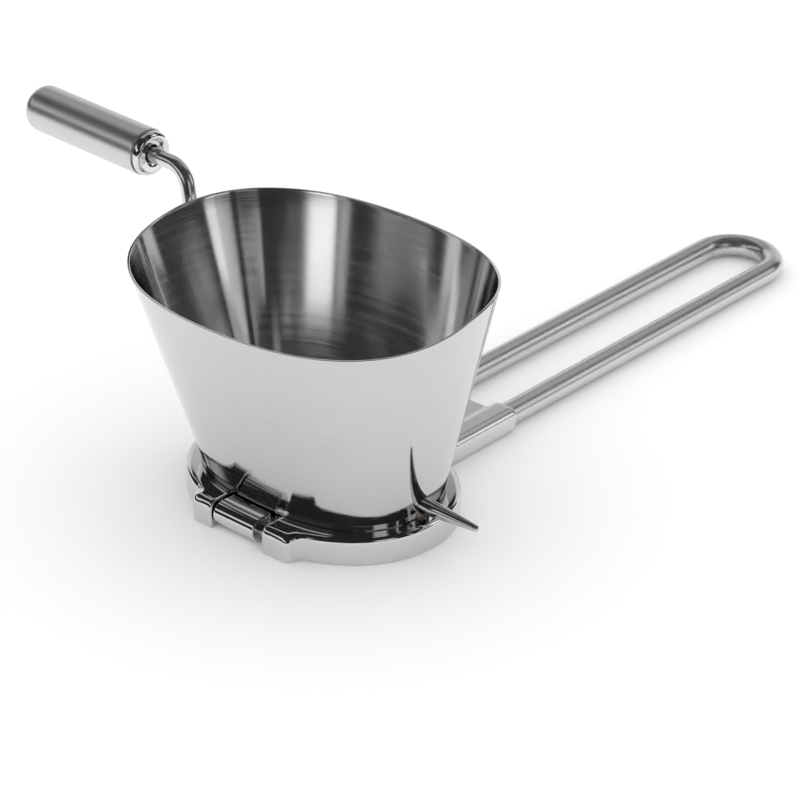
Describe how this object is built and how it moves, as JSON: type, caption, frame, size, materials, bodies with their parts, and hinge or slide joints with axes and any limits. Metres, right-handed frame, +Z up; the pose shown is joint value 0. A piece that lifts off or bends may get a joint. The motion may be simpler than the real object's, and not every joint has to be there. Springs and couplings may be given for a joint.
{
  "type": "hand-cranked herb mill",
  "caption": "Stainless hand mill: an oval hinged hopper on a cast ring, a toothed cutter shaft turned by a bent crank with a spinning grip, and a long rod loop handle.",
  "frame": {"origin": "centre of the oval base ring, in the plane of its flat underside, which is the plane the mill rests on", "axes": "+X along the cutter shaft towards its tapered nose (the crank is on -X), +Y along the handle away from the hopper, +Z up; the hopper hinge lies along X on the -Y side"},
  "size_m": [0.1949, 0.272, 0.0936],
  "materials": {
    "cast_polished": "cast stainless steel, mirror polished",
    "bracket_satin": "cast stainless steel, fine satin",
    "rod_satin": "drawn stainless rod, satin brushed along its length",
    "pin_steel": "ground stainless pin",
    "comb_steel": "stamped stainless sheet, deburred",
    "bush_bronze": "sintered bronze, plain",
    "spring_steel": "bent stainless strip",
    "fastener_steel": "stainless fasteners, machined",
    "fastener_dark": "blackened steel",
    "hopper_sheet": "stainless sheet, brushed around outside and in, near mirror",
    "shaft_steel": "turned stainless steel",
    "blade_steel": "hardened stainless sheet with ground teeth",
    "nose_polished": "turned and polished stainless steel",
    "crank_steel": "bent stainless rod, lightly polished",
    "grip_satin": "drawn stainless tube, satin brushed along its length",
    "collar_polished": "turned and polished stainless steel",
    "bush_plastic": "black bearing plastic"
  },
  "bodies": {
    "base": {"base_ring": "cast_polished", "handle_bracket": "bracket_satin", "bracket_screws": "fastener_steel", "handle_loop": "rod_satin", "hinge_pin": "pin_steel", "comb_front": "comb_steel", "comb_rear": "comb_steel", "comb_screws": "fastener_steel", "bush_crank_side": "bush_bronze", "bush_nose_side": "bush_bronze", "catch_clip": "spring_steel", "clip_rivets": "fastener_steel"},
    "hopper": {"hopper": "hopper_sheet", "hinge_barrel": "cast_polished", "catch_tab": "spring_steel"},
    "cutter": {"cutter_shaft": "shaft_steel", "cutter_disc_1": "blade_steel", "cutter_disc_2": "blade_steel", "cutter_disc_3": "blade_steel", "cutter_disc_4": "blade_steel", "cutter_disc_5": "blade_steel", "cutter_disc_6": "blade_steel", "cutter_disc_7": "blade_steel", "cutter_disc_8": "blade_steel", "cutter_disc_9": "blade_steel", "cutter_disc_10": "blade_steel", "spacer_1": "shaft_steel", "spacer_2": "shaft_steel", "spacer_3": "shaft_steel", "spacer_4": "shaft_steel", "spacer_5": "shaft_steel", "spacer_6": "shaft_steel", "spacer_7": "shaft_steel", "spacer_8": "shaft_steel", "spacer_9": "shaft_steel", "spacer_10": "shaft_steel", "spacer_11": "shaft_steel", "stack_nut": "fastener_steel", "shaft_nose": "nose_polished", "crank_hub": "crank_steel", "crank_cross_pin": "fastener_dark", "crank_arm": "crank_steel", "grip_retainer": "fastener_dark"},
    "grip": {"grip_shell": "grip_satin", "grip_collar": "collar_polished", "grip_bush": "bush_plastic"}
  },
  "joints": [
    {"name": "hopper_hinge", "type": "hinge", "parent": "base", "child": "hopper", "pos_m": [0, -0.0318, 0.0044], "axis": [1, 0, 0], "range_deg": [0, 100]},
    {"name": "crank_spin", "type": "hinge", "parent": "base", "child": "cutter", "pos_m": [0, 0, 0.0128], "axis": [1, 0, 0], "continuous": true},
    {"name": "grip_spin", "type": "hinge", "parent": "cutter", "child": "grip", "pos_m": [-0.0666, 0.01131, 0.08421], "axis": [-0.9995, 0.0049, 0.031], "continuous": true}
  ]
}
